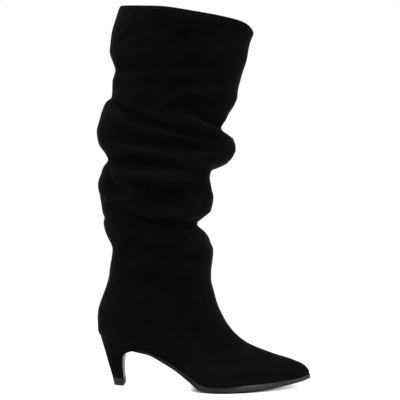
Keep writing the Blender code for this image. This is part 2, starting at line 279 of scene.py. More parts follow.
def foot_hoop(row, theta):
    """A mix of the ankle's oval and the last's outline, bent down to follow the arch."""
    name, back_x, back_z, front_x, front_z, share, dip, fuller = row
    along = (1 + np.cos(theta)) / 2
    last = last_outline(theta)
    chord = SOLE[0][2] + (SOLE[-1][2] - SOLE[0][2]) * along
    oval = -ANKLE_HALF * rounded(theta)
    x = back_x + (front_x - back_x) * along
    y = ((1 - share) * oval + share * last[:, 1]) * fuller
    z = back_z + (front_z - back_z) * along + dip * (last[:, 2] - chord)
    return np.stack([x, y, z], axis=1)


collar = shaft_hoop(SHAFT[0], angles(UPPER_COLUMNS))
print("round the collar, mm:", np.linalg.norm(np.roll(collar, 1, axis=0) - collar, axis=1).sum().round())

# %% [markdown]
# The second parameter runs down the boot from hoop to hoop. A grid of the two gives the whole upper, so
# no vertex is ever placed on its own. The last two rings are a short skirt that tucks in to the sole.

# %% The upper as a grid
SKIRT = 2.5
SKIRT_BACK = 1.4
SKIRT_FRONT = 0.3
SKIRT_CUTS = 2
UPPER_ROW_STEP = 2.4


def upper_grid(count, row_step):
    """All hoops from the collar to the sole, with rows of row_step between them at their widest."""
    theta = angles(count)
    hoops = [shaft_hoop(row, theta) for row in SHAFT]
    hoops += [foot_hoop(row, theta) for row in FOOT]
    edge = last_outline(theta)
    along = (1 + np.cos(theta)) / 2
    skirt = plan_offset(edge, SKIRT_BACK + (SKIRT_FRONT - SKIRT_BACK) * along) + [0.0, 0.0, SKIRT]
    hoops = np.array(hoops + [skirt, edge])
    apart = np.linalg.norm(np.diff(hoops, axis=0), axis=2).max(axis=1)
    cuts = np.maximum(1, np.rint(apart / row_step)).astype(int)
    cuts[-2:] *= SKIRT_CUTS
    places = [k + np.arange(n) / n for k, n in enumerate(cuts)]
    places = np.concatenate(places + [[len(hoops) - 1.0]])
    return smooth(np.arange(len(hoops)), hoops, places)


def normals_of(grid):
    """Outward normals of a grid of closed rows: across the row times down the column."""
    across = np.roll(grid, -1, axis=1) - np.roll(grid, 1, axis=1)
    down = np.gradient(grid, axis=0)
    normal = np.cross(across, down)
    return normal / np.linalg.norm(normal, axis=2, keepdims=True)


plain_upper = upper_grid(UPPER_COLUMNS, UPPER_ROW_STEP)
print("upper grid:", plain_upper.shape[0], "rows of", plain_upper.shape[1])

# %% [markdown]
# ## Folds placed one by one
#
# The hoops give the large rolls. Between them the suede has smaller folds, each with its own line, so
# they are laid one by one: a height (less than zero for a trough), how far the fold fades out above and
# below its path, and the path itself on one side of the boot. Cloth simulation could make folds too,
# but not these ones.

# %% Folds of the outer side
# name, height, above, below, path in x and z
OUTER_FOLDS = (
    ("arch", 2.2, 7.0, 4.0, (
        (-68, 326), (-57, 334), (-43, 344), (-28, 352), (-12, 356), (4, 355), (20, 349),
    )),
    ("pocket", -3.4, 7.5, 6.0, ((-22, 347), (-13, 339), (-3, 331), (9, 323))),
    ("strap_front", 1.4, 4.4, 7.0, ((-22, 336), (-8, 327), (8, 318), (26, 308))),
    ("strap_back", 2.1, 5.0, 6.0, ((-98, 349), (-76, 339), (-58, 331.5), (-36, 327))),
    ("notch_pit", -1.6, 4.0, 4.0, ((-110, 350), (-98, 340), (-84, 332))),
    ("first_crease", -1.8, 5.0, 2.4, (
        (-104, 341), (-92, 329), (-76, 321), (-58, 317), (-34, 313), (14, 301),
    )),
    ("first_lip", 1.4, 3.8, 6.0, (
        (-118, 352), (-104, 335), (-88, 323), (-68, 314), (-48, 310), (-28, 306),
    )),
    ("first_valley", -0.2, 8.0, 6.0, ((-108, 312), (-85, 302), (-61, 296), (-30, 291), (10, 288))),
    ("low_crest", 1.7, 3.6, 6.0, (
        (-114, 298), (-92, 293), (-66, 288), (-42, 283), (-20, 278), (12, 277),
    )),
    ("swell_back", 1.6, 5.0, 5.0, ((-98, 266), (-84, 259), (-66, 257), (-46, 257))),
    ("swell_front", 1.3, 5.0, 4.0, ((-50, 257), (-30, 260), (-12, 263))),
    ("wedge", -3.6, 9.0, 13.0, ((-70, 233), (-54, 236), (-36, 237), (-14, 243))),
    ("wedge_floor", 1.2, 6.0, 6.0, ((-78, 221), (-50, 215), (-20, 216))),
    ("hook_down", 1.6, 5.0, 5.0, (
        (-112, 277), (-107, 267), (-103, 258), (-97, 252), (-89, 247), (-83, 240), (-83, 233),
    )),
    ("hook_knob", 1.9, 3.0, 3.0, ((-87, 245), (-82, 239), (-83, 231))),
    ("hook_back", 2.2, 4.8, 4.6, ((-121, 233), (-106, 232), (-92, 231), (-84, 234), (-82, 240))),
    ("hook_pit", -2.5, 5.6, 5.6, ((-114, 269), (-110, 257), (-105, 248), (-98, 242), (-88, 239))),
    ("third_crease", -1.5, 3.6, 6.0, (
        (-122, 226), (-106, 222), (-92, 218), (-78, 213), (-64, 207), (-45, 201), (-18, 191),
    )),
    ("third_lip", 1.0, 7.0, 5.6, (
        (-124, 232), (-106, 228), (-92, 225), (-78, 220), (-64, 214), (-45, 208), (-28, 203), (-10, 197),
    )),
    ("shade_patch", -2.0, 13.0, 12.0, ((-58, 198), (-37, 188), (-14, 178))),
    ("back_sag", 1.2, 7.0, 7.0, ((-112, 200), (-100, 190), (-92, 178))),
    ("ankle_band", -1.0, 8.0, 9.0, ((-104, 146), (-73, 143), (-43, 144), (-10, 145))),
    ("ankle_mark", 0.7, 3.0, 3.0, ((-92, 156), (-82, 157), (-72, 155))),
    ("crinkle_one", 1.0, 3.0, 3.0, ((-104, 425), (-93, 433), (-80, 443))),
    ("crinkle_two", 1.0, 3.0, 3.0, ((-102, 411), (-89, 419), (-70, 425))),
    ("crinkle_three", 0.9, 2.8, 2.8, ((-82, 400), (-71, 405), (-60, 405))),
    ("crinkle_dip_one", -0.4, 3.8, 3.8, ((-106, 416), (-95, 424), (-78, 433))),
    ("crinkle_dip_two", -0.4, 3.8, 3.8, ((-100, 402), (-86, 410), (-66, 415))),
    ("crinkle_top", 0.9, 2.6, 2.6, ((-92, 443), (-80, 451))),
    ("panel_slack", -1.6, 26.0, 24.0, ((-30, 428), (-18, 400), (-14, 378))),
)
print("folds on the outer side:", len(OUTER_FOLDS))

# %% [markdown]
# On the hidden sides the rolls run on round the shaft and calm down. The low folds at the back and the
# front also give the boot's outline its last millimetre.

# %% Folds of the hidden sides
# name, height, above, below, path in x and z
INNER_FOLDS = (
    ("inner_crease", -2.2, 4.5, 2.2, ((-102, 336), (-76, 324), (-46, 320), (-14, 314), (18, 305))),
    ("inner_lip", 1.6, 2.6, 6.0, ((-108, 333), (-76, 317), (-46, 312), (-14, 306), (18, 298))),
    ("inner_valley", -2.2, 7.0, 7.0, ((-100, 306), (-66, 303), (-30, 298), (6, 292))),
    ("inner_crest", 1.7, 4.0, 6.0, ((-108, 294), (-68, 293), (-30, 288), (10, 283))),
    ("inner_pleat", -2.2, 4.0, 4.0, ((-98, 350), (-76, 356), (-50, 352), (-26, 342))),
    ("inner_pleat_lip", 1.5, 4.0, 4.0, ((-100, 357), (-76, 364), (-48, 360), (-22, 349))),
    ("inner_second", -2.6, 6.0, 7.0, ((-104, 262), (-72, 252), (-44, 248), (-14, 250))),
    ("inner_second_lip", 1.6, 4.0, 5.0, ((-106, 243), (-72, 238), (-44, 236), (-10, 238))),
    ("inner_third", -2.2, 2.2, 6.0, ((-112, 219), (-80, 207), (-48, 204), (-18, 200))),
    ("inner_third_lip", 1.4, 6.0, 2.2, ((-114, 226), (-80, 214), (-48, 211), (-14, 208))),
    ("inner_shade", -1.6, 12.0, 12.0, ((-84, 190), (-56, 184), (-26, 182))),
    ("inner_ankle", -1.0, 8.0, 9.0, ((-96, 148), (-60, 145), (-20, 146))),
    ("inner_panel", -1.5, 22.0, 22.0, ((-40, 426), (-26, 402), (-20, 382))),
)
# name, height, above, below, path in y and z
BACK_FOLDS = (
    ("back_first", -0.3, 6.0, 7.0, ((-26, 334), (-8, 326), (10, 325), (28, 333))),
    ("back_first_lip", 0.2, 5.0, 5.0, ((-26, 324), (-8, 316), (10, 315), (28, 323))),
    ("back_second", -0.6, 5.0, 5.0, ((-28, 258), (-6, 262), (14, 257), (30, 250))),
    ("back_pinch", -0.5, 4.0, 4.0, ((-24, 240), (-8, 236), (12, 240))),
    ("back_third", -1.6, 4.4, 4.0, ((-24, 210), (0, 207), (24, 211))),
    ("back_panel", -0.3, 7.0, 7.0, ((-22, 400), (-2, 404), (20, 398))),
)
FRONT_FOLDS = (
    ("front_pocket", 1.4, 6.0, 8.0, ((-24, 330), (0, 328), (24, 330))),
    ("front_first", -0.4, 4.0, 4.0, ((-28, 291), (-8, 287), (12, 287), (28, 292))),
    ("front_second", -0.4, 4.0, 5.0, ((-24, 243), (-4, 239), (18, 243))),
    ("front_notch", -1.3, 2.4, 2.4, ((-20, 201.5), (-8, 200.6), (8, 200.6), (20, 201.5))),
    ("front_third", -1.2, 5.0, 6.0, ((-22, 180), (0, 177), (22, 181))),
)
FOLDS = {"outer": OUTER_FOLDS, "inner": INNER_FOLDS, "back": BACK_FOLDS, "front": FRONT_FOLDS}
print("folds in all:", sum(len(folds) for folds in FOLDS.values()))

# %% [markdown]
# A path is first drawn as a curve of many short pieces in its own view, and then takes its depth from
# the nearest point of the plain upper.

# %% Paths on the upper
PATH_STEPS = 40
PATH_ROOM = 20.0
FLAT_AXES = {"outer": (0, 2), "inner": (0, 2), "front": (1, 2), "back": (1, 2)}


def facing(points, side):
    """True for the points on the named side of the shaft's middle."""
    middle = (points[:, 0].min() + points[:, 0].max()) / 2
    ways = {
        "outer": points[:, 1] < 0,
        "inner": points[:, 1] > 0,
        "front": points[:, 0] > middle,
        "back": points[:, 0] < middle,
    }
    return ways[side]


def lifted_path(points, side, path):
    """The path as a fine curve in its flat view, with the third coordinate of the nearest point."""
    flat = list(FLAT_AXES[side])
    path = np.asarray(path, dtype=float)
    length = np.concatenate([[0.0], np.cumsum(np.linalg.norm(np.diff(path, axis=0), axis=1))])
    fine = smooth(length, path, np.linspace(0.0, length[-1], PATH_STEPS + 1))
    low = path[:, 1].min() - PATH_ROOM
    high = path[:, 1].max() + PATH_ROOM
    near = points[(points[:, 2] > low) & (points[:, 2] < high)]
    near = near[facing(near, side)]
    gap = ((near[None, :, flat] - fine[:, None, :]) ** 2).sum(axis=2)
    lifted = near[gap.argmin(axis=1)]
    lifted[:, flat] = fine
    return lifted


print("points on a path:", PATH_STEPS + 1)

# %% [markdown]
# The height of a fold at any grid point follows from the distance to its path in space, so folds run
# round the sides without stretching. Across the path it is a soft hump, and along it the fold fades in
# and out.

# %% Height of one fold
FADE = 0.22
REACH = 3.0


def fold_height(points, side, fold):
    """Height times exp(-(distance / width)^2), with a width above and one below, faded at both ends."""
    name, height, above, below, path = fold
    line = lifted_path(points, side, path)
    room = REACH * max(above, below)
    inside = np.all((points > line.min(axis=0) - room) & (points < line.max(axis=0) + room), axis=1)
    near = points[inside]
    start = line[:-1]
    span = np.diff(line, axis=0)
    offset = near[:, None, :] - start[None]
    share = np.clip((offset * span).sum(axis=2) / (span**2).sum(axis=1), 0.0, 1.0)
    away = offset - share[:, :, None] * span
    distance = np.linalg.norm(away, axis=2)
    best = distance.argmin(axis=1)
    pick = np.arange(len(near))
    over = away[pick, best, 2] > 0
    width = np.where(over, above, below)
    along = (best + share[pick, best]) / PATH_STEPS
    fade = ease(along / FADE) * ease((1 - along) / FADE)
    made = np.zeros(len(points))
    made[inside] = height * np.exp(-((distance[pick, best] / width) ** 2)) * fade
    return made


first_fold = fold_height(plain_upper.reshape(-1, 3), "outer", OUTER_FOLDS[0])
print("the fold", OUTER_FOLDS[0][0], "rises by up to", first_fold.max().round(2), "mm")

# %% [markdown]
# The collar is cut on a line of its own, lower at the front, and its edge rolls in a little. Slack suede
# is never perfectly smooth either, so slow waves are added. They are very low, and lower still on the
# foot, where the last keeps the suede tight.

# %% Collar line and unevenness
# name, angle in degrees, reach in degrees, rise
COLLAR_LINE = (
    ("front", 0.0, 21.0, -6.5),
    ("back", 180.0, 23.0, 2.2),
    ("outer_back", 105.0, 16.0, 1.0),
)
COLLAR_DEPTH = 30.0
ROLL = 1.0
ROLL_DEPTH = 6.0
# direction x, y, z, wavelength, height
WAVES = (
    (0.9, 0.3, 0.5, 61.0, 0.34),
    (-0.5, 0.6, 0.8, 43.0, 0.30),
    (0.4, -0.7, 1.0, 31.0, 0.24),
    (1.0, 0.8, -0.6, 23.0, 0.15),
    (-0.8, 0.2, 1.2, 17.0, 0.10),
)
TIGHT_SHARE = 0.15
TIGHT_BELOW = 110.0
SLACK_REACH = 60.0


def cut_collar(grid):
    """Rises of exp(-(angle / reach)^2) that fade out below the collar, and an edge that rolls in."""
    theta = angles(grid.shape[1])
    below = np.linalg.norm(grid - grid[0], axis=2)
    rise = np.zeros(len(theta))
    for name, angle, reach, height in COLLAR_LINE:
        away = np.degrees(np.angle(np.exp(1j * (theta - np.radians(angle)))))
        rise += height * np.exp(-((away / reach) ** 2))
    rise = rise * (1 - ease(below / COLLAR_DEPTH))
    roll = ROLL * np.clip(1 - below / ROLL_DEPTH, 0.0, 1.0) ** 2 * np.sin(theta) ** 2
    return grid + rise[:, :, None] * [0.0, 0.0, 1.0] - roll[:, :, None] * normals_of(grid)


def unevenness(points):
    """The sum of slow waves, each a sine along its own direction, with TIGHT_SHARE of it on the foot."""
    total = np.zeros(len(points))
    for number, (x, y, z, wavelength, height) in enumerate(WAVES):
        way = np.array([x, y, z]) / np.linalg.norm([x, y, z])
        total += height * np.sin(2 * np.pi * (points @ way) / wavelength + number)
    slack = ease((points[:, 2] - TIGHT_BELOW) / SLACK_REACH)
    return total * (TIGHT_SHARE + (1 - TIGHT_SHARE) * slack)


cut_upper = cut_collar(plain_upper)
print("collar from", cut_upper[0, :, 2].min().round(1), "to", cut_upper[0, :, 2].max().round(1), "mm")

# %% [markdown]
# All folds are added up and move the grid along its normals. They fade out at the collar and just above
# the sole, so that both lines stay as they were cut.

# %% Lay the folds
STILL_TOP_ROWS = 6
STILL_FOOT_ROWS = 12


def folded(grid):
    """The grid moved along its normals by all the folds and the unevenness, but not at its ends."""
    points = grid.reshape(-1, 3)
    lift = unevenness(points)
    for side, folds in FOLDS.items():
        for fold in folds:
            lift = lift + fold_height(points, side, fold)
    row = np.arange(len(grid))[:, None]
    top = ease(row / STILL_TOP_ROWS)
    foot = ease(row[::-1] / STILL_FOOT_ROWS)
    lift = lift.reshape(grid.shape[:2]) * top * foot
    return grid + normals_of(grid) * lift[:, :, None]


suede_grid = folded(cut_upper)
suede_normals = normals_of(suede_grid)
moved = np.linalg.norm(suede_grid - plain_upper, axis=2)
print("collar line and folds move the suede by up to", moved.max().round(2), "mm")

# %% [markdown]
# ## Painted shading
#
# A ridge of the nap gets a painted highlight, and deep in a crease it gets painted shade. To know where
# that is, the grid is averaged with its neighbours many times over: a ridge stands proud of its own
# average and a crease lies below it. A few averages find the sharp lips, and many find the rolls. This
# number goes with the mesh as an attribute, where the material can read it.

# %% Ridges and creases
# averages, height in millimetres that counts as one, level of a flat part
RELIEFS = ((3, 0.3, 0.0), (14, 0.9, 0.0), (70, 2.6, 1.0))
CREASE_SHARE = 0.45


def softened(grid, times):
    """The grid averaged with its neighbours on each row and column, that many times."""
    for _ in range(times):
        grid = (np.roll(grid, 1, axis=1) + 2 * grid + np.roll(grid, -1, axis=1)) / 4
        above = np.concatenate([grid[:1], grid[:-1]])
        below = np.concatenate([grid[1:], grid[-1:]])
        grid = (above + 2 * grid + below) / 4
    return grid


def ridges(grid, normal):
    """Tanh of the heights above the softened surfaces; creases count for CREASE_SHARE of that."""
    total = np.zeros(grid.shape[:2])
    for times, height, level in RELIEFS:
        proud = ((grid - softened(grid, times)) * normal).sum(axis=2)
        total += (proud - level) / height
    total = np.tanh(total)
    return np.where(total > 0, total, CREASE_SHARE * total)


# painted highlight on the ridges and painted shade in the creases
painted_shading = ridges(suede_grid, suede_normals)
print("rubbed from", painted_shading.min().round(2), "to", painted_shading.max().round(2), "mean", painted_shading.mean().round(2))

# %% [markdown]
# Patches of painted light and shade, paler or darker, are listed for the outer side, each as a soft
# oval, and are added to the same attribute.

# %% Painted light and shade patches
# name, x, z, reach along x, reach along z, paler (more than zero) or darker
PAINTED_LIGHT_PATCHES = (
    ("panel_middle", -24.0, 396.0, 30.0, 32.0, -0.45),
    ("panel_front", 36.0, 405.0, 14.0, 36.0, 0.35),
    ("panel_back", -88.0, 410.0, 18.0, 36.0, 0.3),
    ("panel_low", -42.0, 363.0, 30.0, 10.0, 0.3),
    ("strap", -40.0, 328.0, 32.0, 8.0, 0.5),
    ("strap_edge", 14.0, 314.0, 14.0, 6.0, -0.7),
    ("first_roll", -30.0, 303.0, 36.0, 9.0, -0.4),
    ("first_edge", 4.0, 301.0, 24.0, 5.0, -0.9),
    ("second_roll", -46.0, 257.0, 40.0, 9.0, 0.9),
    ("wedge", -42.0, 236.0, 34.0, 9.0, -0.35),
    ("hook", -98.0, 246.0, 14.0, 16.0, 0.4),
    ("hook_knob", -83.0, 237.0, 4.0, 5.0, 0.8),
    ("first_under", -8.0, 270.0, 18.0, 6.0, 0.6),
    ("shin", -42.0, 170.0, 34.0, 30.0, -0.25),
    ("vamp", 40.0, 40.0, 60.0, 24.0, 0.3),
)


def painted_light_and_shade(grid, normal):
    """The sum of tone times exp(-(x away / reach)^2 - (z away / reach)^2), on what faces outwards."""
    facing_out = np.clip(-normal[:, :, 1], 0.0, 1.0)
    total = np.zeros(grid.shape[:2])
    for name, x, z, reach_x, reach_z, tone in PAINTED_LIGHT_PATCHES:
        away_x = (grid[:, :, 0] - x) / reach_x
        away_z = (grid[:, :, 2] - z) / reach_z
        total += tone * np.exp(-(away_x**2) - away_z**2)
    return total * facing_out


# patches of painted light and shade, added to the same attribute
painted_shading = painted_shading + painted_light_and_shade(suede_grid, suede_normals)
print("stroked patches:", len(PAINTED_LIGHT_PATCHES))

# %% [markdown]
# ## From grids to pieces
#
# Blender takes a mesh as a list of points and a list of faces. For a grid the faces follow from the row
# and column numbers, so they are worked out for the whole grid at once. An end of a stack of rings is
# filled with quads from side to side, which keeps it free of long thin triangles.

# %% Faces of a grid
def ring_faces(rows, columns, join_ends=False):
    """Quads between closed rows; with join_ends the last row meets the first, as on a torus."""
    starts = np.arange(rows if join_ends else rows - 1)
    r, c = np.meshgrid(starts, np.arange(columns), indexing="ij")
    below = (r + 1) % rows
    beside = (c + 1) % columns
    quads = [r * columns + c, r * columns + beside, below * columns + beside, below * columns + c]
    return np.stack(quads, axis=-1).reshape(-1, 4)


def cap_faces(first, count):
    """A ring filled from side to side: quads between points as far from the start as from the end."""
    c = np.arange(count // 2 - 1)
    far = count - 1 - c
    return np.stack([c, c + 1, far - 1, far], axis=1) + first


def stack_faces(rings, first=False, last=False):
    """Faces between all rings, and over the first or the last ring where that is asked for."""
    rows, columns = rings.shape[:2]
    parts = [ring_faces(rows, columns)]
    if first:
        parts.append(cap_faces(0, columns))
    if last:
        parts.append(cap_faces((rows - 1) * columns, columns))
    return np.concatenate(parts)


print("faces on a grid of the upper:", len(ring_faces(*suede_grid.shape[:2])))

# %% [markdown]
# Every piece sits at the origin with its place in its points, rides on the frame's only body and takes
# its finish from the materials in its slots. Where rings close to a line or a tip, points that
# meet are merged and the faces are turned outwards afterwards.

# %% Make a piece
SHARP = np.radians(50.0)
MERGE = 0.01


def make_piece(name, points, faces, materials, replaces=None, tidy=False):
    """A mesh from millimetre points; tidy merges points that meet and turns its faces outwards."""
    mesh = bpy.data.meshes.new(name)
    mesh.from_pydata((np.reshape(points, (-1, 3)) * MM).tolist(), [], faces.tolist())
    if tidy:
        work = bmesh.new()
        work.from_mesh(mesh)
        bmesh.ops.remove_doubles(work, verts=work.verts, dist=MERGE * MM)
        bmesh.ops.recalc_face_normals(work, faces=work.faces)
        if work.calc_volume(signed=True) < 0:
            bmesh.ops.reverse_faces(work, faces=work.faces)
        work.to_mesh(mesh)
        work.free()
    for material in materials:
        mesh.materials.append(material)
    mesh.shade_smooth()
    mesh.set_sharp_from_angle(angle=SHARP)
    piece = bpy.data.objects.new(name, mesh)
    bpy.context.scene.collection.objects.link(piece)
    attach(piece, BODY)
    if replaces:
        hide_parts(replaces)
    print(name, "has", len(mesh.polygons), "faces")
    return piece


print("edges over", np.degrees(SHARP).round(), "degrees stay sharp")

# %% [markdown]
# ## Finishes
#
# A material is a tree of nodes. These helpers add a node with its values, join two nodes, and start a
# node group, which is a small tree with named sockets that several materials can use.

# %% Node helpers
COLOUR = "NodeSocketColor"
NUMBER = "NodeSocketFloat"


def add_node(tree, kind, **values):
    """A node of that kind, with properties or input values set by name."""
    node = tree.nodes.new(kind)
    for name, value in values.items():
        if name in node.inputs:
            node.inputs[name].default_value = value
        else:
            setattr(node, name, value)
    return node


def link(tree, source, output, target, entry):
    """Joins an output to an input, each given by its name or number."""
    tree.links.new(source.outputs[output], target.inputs[entry])


def new_group(name, inputs, outputs):
    """An empty shader group with named sockets; returns its tree, its input and its output node."""
    tree = bpy.data.node_groups.new(name, "ShaderNodeTree")
    for socket, kind in inputs:
        tree.interface.new_socket(socket, in_out="INPUT", socket_type=kind)
    for socket, kind in outputs:
        tree.interface.new_socket(socket, in_out="OUTPUT", socket_type=kind)
    return tree, tree.nodes.new("NodeGroupInput"), tree.nodes.new("NodeGroupOutput")


print("kinds of socket:", COLOUR, NUMBER)

# %% [markdown]
# Every effect here starts from noise at several scales, added up with weights and brought to a range.
# A photograph of suede could do the same, but noise has no seams and needs no unwrapping. It reads
# Object coordinates, so it stays in place when the boot is moved.

# %% Noise and mixes
NOISE_ROUGHNESS = 0.6
# first input, second input and output of a Mix node, by the kind of value
MIX_SOCKETS = {"RGBA": (6, 7, 2), "FLOAT": (2, 3, 0)}


def noises(tree, table):
    """A noise for each row of the table, on Object coordinates that are stretched along the axes."""
    where = add_node(tree, "ShaderNodeTexCoord")
    made = {}
    for name, lumps, detail, stretch in table:
        mapping = add_node(tree, "ShaderNodeMapping", Scale=stretch)
        link(tree, where, "Object", mapping, "Vector")
        texture = add_node(tree, "ShaderNodeTexNoise", Scale=lumps, Detail=detail)
        texture.inputs["Roughness"].default_value = NOISE_ROUGHNESS
        link(tree, mapping, "Vector", texture, "Vector")
        made[name] = texture
    return made


def weighted(tree, textures, weights):
    """The sum of the named textures, each times its weight."""
    total = None
    for name, weight in weights.items():
        scaled = add_node(tree, "ShaderNodeMath", operation="MULTIPLY")
        scaled.inputs[1].default_value = weight
        link(tree, textures[name], 0, scaled, 0)
        if total is None:
            total = scaled
            continue
        both = add_node(tree, "ShaderNodeMath", operation="ADD")
        link(tree, total, 0, both, 0)
        link(tree, scaled, 0, both, 1)
        total = both
    return total


def ranged(tree, source, low, high, to_low, to_high):
    """A value moved from one range to another and held inside it."""
    node = add_node(tree, "ShaderNodeMapRange")
    for place, value in enumerate((low, high, to_low, to_high), start=1):
        node.inputs[place].default_value = value
    link(tree, source, 0, node, 0)
    return node


def mixed(tree, kind, share, first, second):
    """The first socket's value turned into the second's by the share; returns the mix's own socket."""
    node = add_node(tree, "ShaderNodeMix", data_type=kind)
    first_place, second_place, output = MIX_SOCKETS[kind]
    link(tree, share, 0, node, "Factor")
    tree.links.new(first, node.inputs[first_place])
    tree.links.new(second, node.inputs[second_place])
    return node.outputs[output]


print("mixes of", ", ".join(MIX_SOCKETS))

# %% [markdown]
# Suede is leather with its fibres brushed up. The nap lies in clouds where a hand has brushed it one way
# or the other, and close up it is a fuzz of short fibres. More than one material is suede, so this is a
# node group with values of its own for each. It also reads the painted light and shade that go with the
# mesh.

# %% Nap group
# name, lumps a metre, detail, stretch
NAP_NOISE = (
    ("clouds", 34.0, 4.0, (1.0, 1.0, 1.0)),
    ("strokes", 160.0, 3.0, (1.0, 1.0, 0.5)),
    ("clumps", 900.0, 2.0, (1.0, 1.0, 1.0)),
    ("fuzz", 3600.0, 2.0, (1.0, 1.0, 1.0)),
)
NAP_TONE = {"clouds": 0.42, "strokes": 0.22, "clumps": 0.2, "fuzz": 0.16}
NAP_RELIEF = {"strokes": 0.3, "clumps": 0.4, "fuzz": 0.3}
# from low, from high, to low, to high
NAP_SHARE = (0.25, 0.75, 0.1, 0.9)
NAP_ROUGHNESS = (0.36, 0.64, 1.0, 0.86)
PAINTED_SHADING_SHARE = 0.3


def make_nap():
    """Nap: clouds of brushed fibre mixed from dark to light, with painted light and shade, and a height
    of clumps and fuzz.
    """
    tree, given, out = new_group(
        "nap",
        [("Dark", COLOUR), ("Light", COLOUR)],
        [("Colour", COLOUR), ("Roughness", NUMBER), ("Height", NUMBER)],
    )
    textures = noises(tree, NAP_NOISE)
    tone = weighted(tree, textures, NAP_TONE)
    even = ranged(tree, tone, *NAP_SHARE)
    # the attribute holds the painted light and shade of the suede
    worn = add_node(tree, "ShaderNodeAttribute", attribute_name="painted_shading")
    share = add_node(tree, "ShaderNodeMath", operation="MULTIPLY_ADD", use_clamp=True)
    share.inputs[1].default_value = PAINTED_SHADING_SHARE
    link(tree, worn, "Fac", share, 0)
    link(tree, even, 0, share, 2)
    colour = mixed(tree, "RGBA", share, given.outputs["Dark"], given.outputs["Light"])
    tree.links.new(colour, out.inputs["Colour"])
    link(tree, ranged(tree, tone, *NAP_ROUGHNESS), 0, out, "Roughness")
    link(tree, weighted(tree, textures, NAP_RELIEF), 0, out, "Height")
    return tree


nap = make_nap()
print("group:", nap.name)

# %% [markdown]
# Rubber and waxed thread share another effect: handling leaves fine scratches and a dull bloom. Its
# group gives a colour between clean and worn, a roughness, and a height for scratches and pores.

# %% Scuff group
# name, lumps a metre, detail, stretch
SCUFF_NOISE = (
    ("bloom", 55.0, 3.0, (1.0, 1.0, 1.0)),
    ("scratches", 420.0, 2.0, (0.12, 1.0, 1.6)),
    ("pores", 2600.0, 1.0, (1.0, 1.0, 1.0)),
)
SCUFF_TONE = {"bloom": 0.5, "scratches": 0.36, "pores": 0.14}
SCUFF_RELIEF = {"scratches": 0.6, "pores": 0.4}
# from low, from high, to low, to high
SCUFF_SHARE = (0.38, 0.64, 0.0, 1.0)


def make_scuffs():
    """Scuffs: long thin noise for scratches, broad noise for bloom and fine noise for pores."""
    tree, given, out = new_group(
        "scuffs",
        [("Clean", COLOUR), ("Worn", COLOUR), ("Smooth", NUMBER), ("Rough", NUMBER)],
        [("Colour", COLOUR), ("Roughness", NUMBER), ("Height", NUMBER)],
    )
    textures = noises(tree, SCUFF_NOISE)
    share = ranged(tree, weighted(tree, textures, SCUFF_TONE), *SCUFF_SHARE)
    colour = mixed(tree, "RGBA", share, given.outputs["Clean"], given.outputs["Worn"])
    rough = mixed(tree, "FLOAT", share, given.outputs["Smooth"], given.outputs["Rough"])
    tree.links.new(colour, out.inputs["Colour"])
    tree.links.new(rough, out.inputs["Roughness"])
    link(tree, weighted(tree, textures, SCUFF_RELIEF), 0, out, "Height")
    return tree


scuffs = make_scuffs()
print("group:", scuffs.name)

# %% [markdown]
# A material is a Principled BSDF with one of the groups in front of it. Suede reflects almost nothing
# straight back, but its fibres catch light that grazes them, which is what the sheen is for. Sheen and
# mirror are the same all over, so they are set on the shader and don't come from the group.

# %% Material makers
NAP_BUMP = 0.5
NAP_DEPTH = 0.35
SHEEN_ROUGHNESS = 0.36
SHEEN_GREY = 0.8
RUBBER_BLUE = 1.1
SCUFF_DEPTH = 0.12


def grey(value, blue=1.0):
    """An opaque grey, a little blue where blue is over 1."""
    return (value, value, value * blue, 1.0)


def new_material(name, group, values, bump_strength, bump_depth):
    """A Principled material fed by a group with its own values; returns it and its shader node."""
    material = bpy.data.materials.new(name)
    material.use_nodes = True
    tree = material.node_tree
    shader = tree.nodes["Principled BSDF"]
    effect = add_node(tree, "ShaderNodeGroup")
    effect.node_tree = group
    for socket, value in values.items():
        effect.inputs[socket].default_value = value
    bump = add_node(tree, "ShaderNodeBump", Strength=bump_strength, Distance=bump_depth * MM)
    link(tree, effect, "Colour", shader, "Base Color")
    link(tree, effect, "Roughness", shader, "Roughness")
    link(tree, effect, "Height", bump, "Height")
    link(tree, bump, "Normal", shader, "Normal")
    return material, shader


def suede_material(name, dark, light, sheen):
    """Matte nap with a soft grey sheen and no mirror."""
    values = {"Dark": grey(dark), "Light": grey(light)}
    material, shader = new_material(name, nap, values, NAP_BUMP, NAP_DEPTH)
    shader.inputs["Specular IOR Level"].default_value = 0.0
    shader.inputs["Sheen Weight"].default_value = sheen
    shader.inputs["Sheen Roughness"].default_value = SHEEN_ROUGHNESS
    shader.inputs["Sheen Tint"].default_value = grey(SHEEN_GREY)
    return material


def rubber_material(name, clean, worn, smoothest, roughest, specular, relief):
    """Moulded rubber, smooth sole sheet or waxed thread, with fine scuffs."""
    values = {
        "Clean": grey(clean, RUBBER_BLUE),
        "Worn": grey(worn, RUBBER_BLUE),
        "Smooth": smoothest,
        "Rough": roughest,
    }
    material, shader = new_material(name, scuffs, values, relief, SCUFF_DEPTH)
    shader.inputs["Specular IOR Level"].default_value = specular
    return material


print("relief of the nap and of rubber, mm:", NAP_DEPTH, SCUFF_DEPTH)

# %% [markdown]
# Black suede is darker than it looks: most of what we see of it is sheen. The lining and the sock are
# plainer and paler. The sole has two finishes, bare rubber on its edge and a smooth sheet underneath.

# %% Materials
# name: dark, light, sheen
SUEDES = {
    "black_suede": (0.0017, 0.0045, 0.08),
    "heel_black_suede": (0.0017, 0.0044, 0.08),
    "lining_nap": (0.012, 0.022, 0.05),
    "sock_nap": (0.016, 0.028, 0.05),
}
